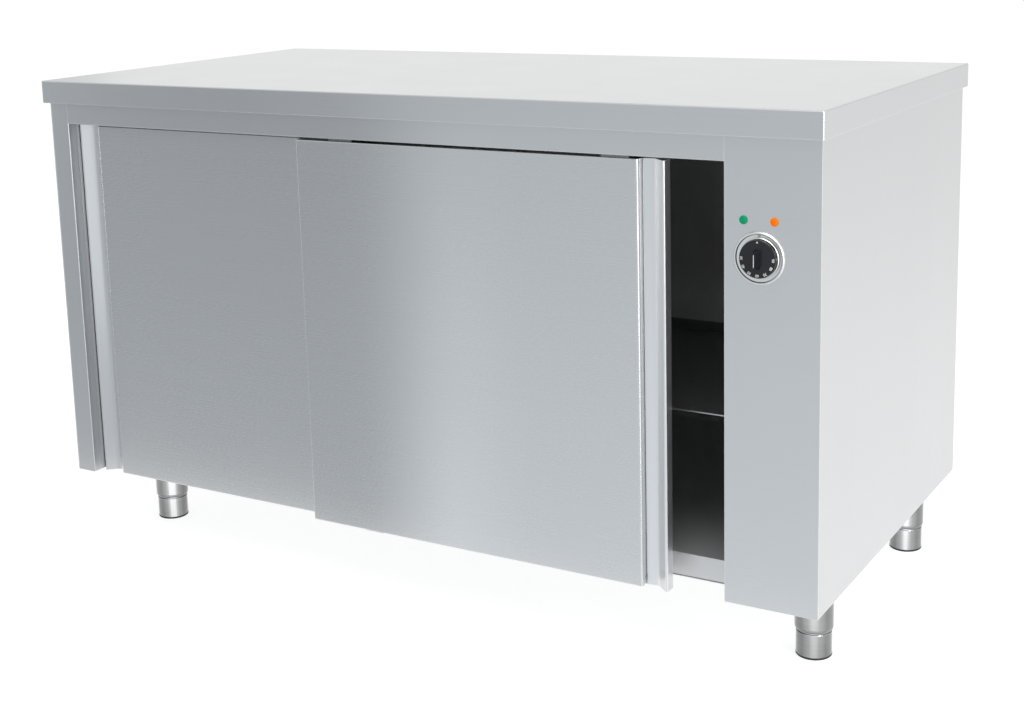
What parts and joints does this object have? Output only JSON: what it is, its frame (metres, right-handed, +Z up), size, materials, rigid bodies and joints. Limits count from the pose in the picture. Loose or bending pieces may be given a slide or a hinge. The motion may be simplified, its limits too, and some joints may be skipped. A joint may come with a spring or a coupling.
{
  "type": "heated plate cabinet",
  "caption": "Long stainless plate-warming cabinet with a flat worktop, sliding doors with folded finger grips, a control column with dial and lamps, and screw feet.",
  "frame": {"origin": "on the floor under the middle of the worktop", "axes": "+X to the right as one faces the doors, +Y towards the back, +Z up"},
  "size_m": [1.4, 0.7102, 0.832],
  "materials": {
    "worktop_steel": "satin brushed stainless steel, grain along the length",
    "cabinet_steel": "satin brushed stainless steel, grain along the width",
    "door_steel": "satin brushed stainless steel, grain along the width",
    "lining_steel": "satin stainless steel",
    "galvanised_steel": "galvanised steel",
    "zinc_plated": "bright zinc plate",
    "track_aluminium": "extruded, plain",
    "mineral_wool": "pressed mineral wool",
    "black_rubber": "matte",
    "white_nylon": "natural nylon",
    "knob_plastic": "black with white dial marks",
    "bezel_chrome": "satin chromed ring",
    "black_plastic": "matte black",
    "green_lens": "translucent green lens",
    "orange_lens": "translucent orange lens",
    "element_steel": "heat-darkened steel",
    "brass_copper": "drawn copper tube",
    "foot_steel": "satin stainless steel tube",
    "terminal_ceramic": "heat-resistant moulding"
  },
  "bodies": {
    "cabinet": {"worktop": "worktop_steel", "stiffeners": "galvanised_steel", "left_side_panel": "cabinet_steel", "right_side_panel": "cabinet_steel", "back_panel": "galvanised_steel", "base_panel": "galvanised_steel", "top_rail": "cabinet_steel", "control_panel": "cabinet_steel", "left_liner": "lining_steel", "partition": "lining_steel", "back_liner": "lining_steel", "ceiling_liner": "lining_steel", "bottom_shelf": "lining_steel", "insulation_panels": "mineral_wool", "mid_shelf": "lining_steel", "shelf_uprights": "lining_steel", "shelf_clips": "lining_steel", "door_track": "track_aluminium", "track_stops": "black_rubber", "guide_bracket": "zinc_plated", "door_guides": "white_nylon", "foot_sleeves": "foot_steel", "leg_channels": "galvanised_steel", "thermostat_bezel": "bezel_chrome", "thermostat": "terminal_ceramic", "green_lamp": "green_lens", "orange_lamp": "orange_lens", "air_duct": "galvanised_steel", "heating_element": "element_steel", "fan_frame": "black_plastic", "terminal_block": "terminal_ceramic", "cable_gland": "black_plastic", "wiring": "black_rubber", "sensor": "brass_copper", "pan_screws": "zinc_plated"},
    "right_door": {"right_door_skin": "door_steel", "right_door_liner": "lining_steel", "right_door_insulation": "mineral_wool", "right_door_grip": "door_steel", "right_door_hangers": "zinc_plated"},
    "right_door_rear_rollers": {"right_door_rear_rollers": "white_nylon"},
    "right_door_grip_rollers": {"right_door_grip_rollers": "white_nylon"},
    "left_door": {"left_door_skin": "door_steel", "left_door_liner": "lining_steel", "left_door_insulation": "mineral_wool", "left_door_grip": "door_steel", "left_door_hangers": "zinc_plated"},
    "left_door_rear_rollers": {"left_door_rear_rollers": "white_nylon"},
    "left_door_grip_rollers": {"left_door_grip_rollers": "white_nylon"},
    "foot_front_left": {"foot_front_left": "foot_steel", "foot_pad_front_left": "black_plastic"},
    "foot_front_right": {"foot_front_right": "foot_steel", "foot_pad_front_right": "black_plastic"},
    "foot_back_left": {"foot_back_left": "foot_steel", "foot_pad_back_left": "black_plastic"},
    "foot_back_right": {"foot_back_right": "foot_steel", "foot_pad_back_right": "black_plastic"},
    "thermostat_knob": {"thermostat_knob": "knob_plastic", "thermostat_shaft": "zinc_plated"},
    "fan_impeller": {"fan_impeller": "black_plastic"}
  },
  "joints": [
    {"name": "right_door_slide", "type": "slide", "parent": "cabinet", "child": "right_door", "axis": [1, 0, 0], "range_m": [-0.4904, 0.0866]},
    {"name": "left_door_slide", "type": "slide", "parent": "cabinet", "child": "left_door", "axis": [1, 0, 0], "range_m": [0, 0.577]},
    {"name": "right_door_rear_rollers_turn", "type": "hinge", "parent": "right_door", "child": "right_door_rear_rollers", "pos_m": [-0.0846, -0.328, 0.7815], "axis": [0, 1, 0], "continuous": true},
    {"name": "right_door_grip_rollers_turn", "type": "hinge", "parent": "right_door", "child": "right_door_grip_rollers", "pos_m": [0.3894, -0.328, 0.7815], "axis": [0, 1, 0], "continuous": true},
    {"name": "left_door_rear_rollers_turn", "type": "hinge", "parent": "left_door", "child": "left_door_rear_rollers", "pos_m": [-0.101, -0.303, 0.7815], "axis": [0, 1, 0], "continuous": true},
    {"name": "left_door_grip_rollers_turn", "type": "hinge", "parent": "left_door", "child": "left_door_grip_rollers", "pos_m": [-0.575, -0.303, 0.7815], "axis": [0, 1, 0], "continuous": true},
    {"name": "foot_front_left_height", "type": "slide", "parent": "cabinet", "child": "foot_front_left", "axis": [0, 0, -1], "range_m": [0, 0.03]},
    {"name": "foot_front_right_height", "type": "slide", "parent": "cabinet", "child": "foot_front_right", "axis": [0, 0, -1], "range_m": [0, 0.03]},
    {"name": "foot_back_left_height", "type": "slide", "parent": "cabinet", "child": "foot_back_left", "axis": [0, 0, -1], "range_m": [0, 0.03]},
    {"name": "foot_back_right_height", "type": "slide", "parent": "cabinet", "child": "foot_back_right", "axis": [0, 0, -1], "range_m": [0, 0.03]},
    {"name": "thermostat_turn", "type": "hinge", "parent": "cabinet", "child": "thermostat_knob", "pos_m": [0.608, -0.338, 0.63], "axis": [0, 1, 0], "range_deg": [0, 270]},
    {"name": "fan_spin", "type": "hinge", "parent": "cabinet", "child": "fan_impeller", "pos_m": [0.6177, 0.0595, 0.39], "axis": [0, 0, 1], "continuous": true}
  ],
  "couplings": [
    {"joint": "right_door_rear_rollers_turn", "follows": "right_door_slide", "rad_per_m": 111.11},
    {"joint": "right_door_grip_rollers_turn", "follows": "right_door_slide", "rad_per_m": 111.11},
    {"joint": "left_door_rear_rollers_turn", "follows": "left_door_slide", "rad_per_m": 111.11},
    {"joint": "left_door_grip_rollers_turn", "follows": "left_door_slide", "rad_per_m": 111.11}
  ]
}
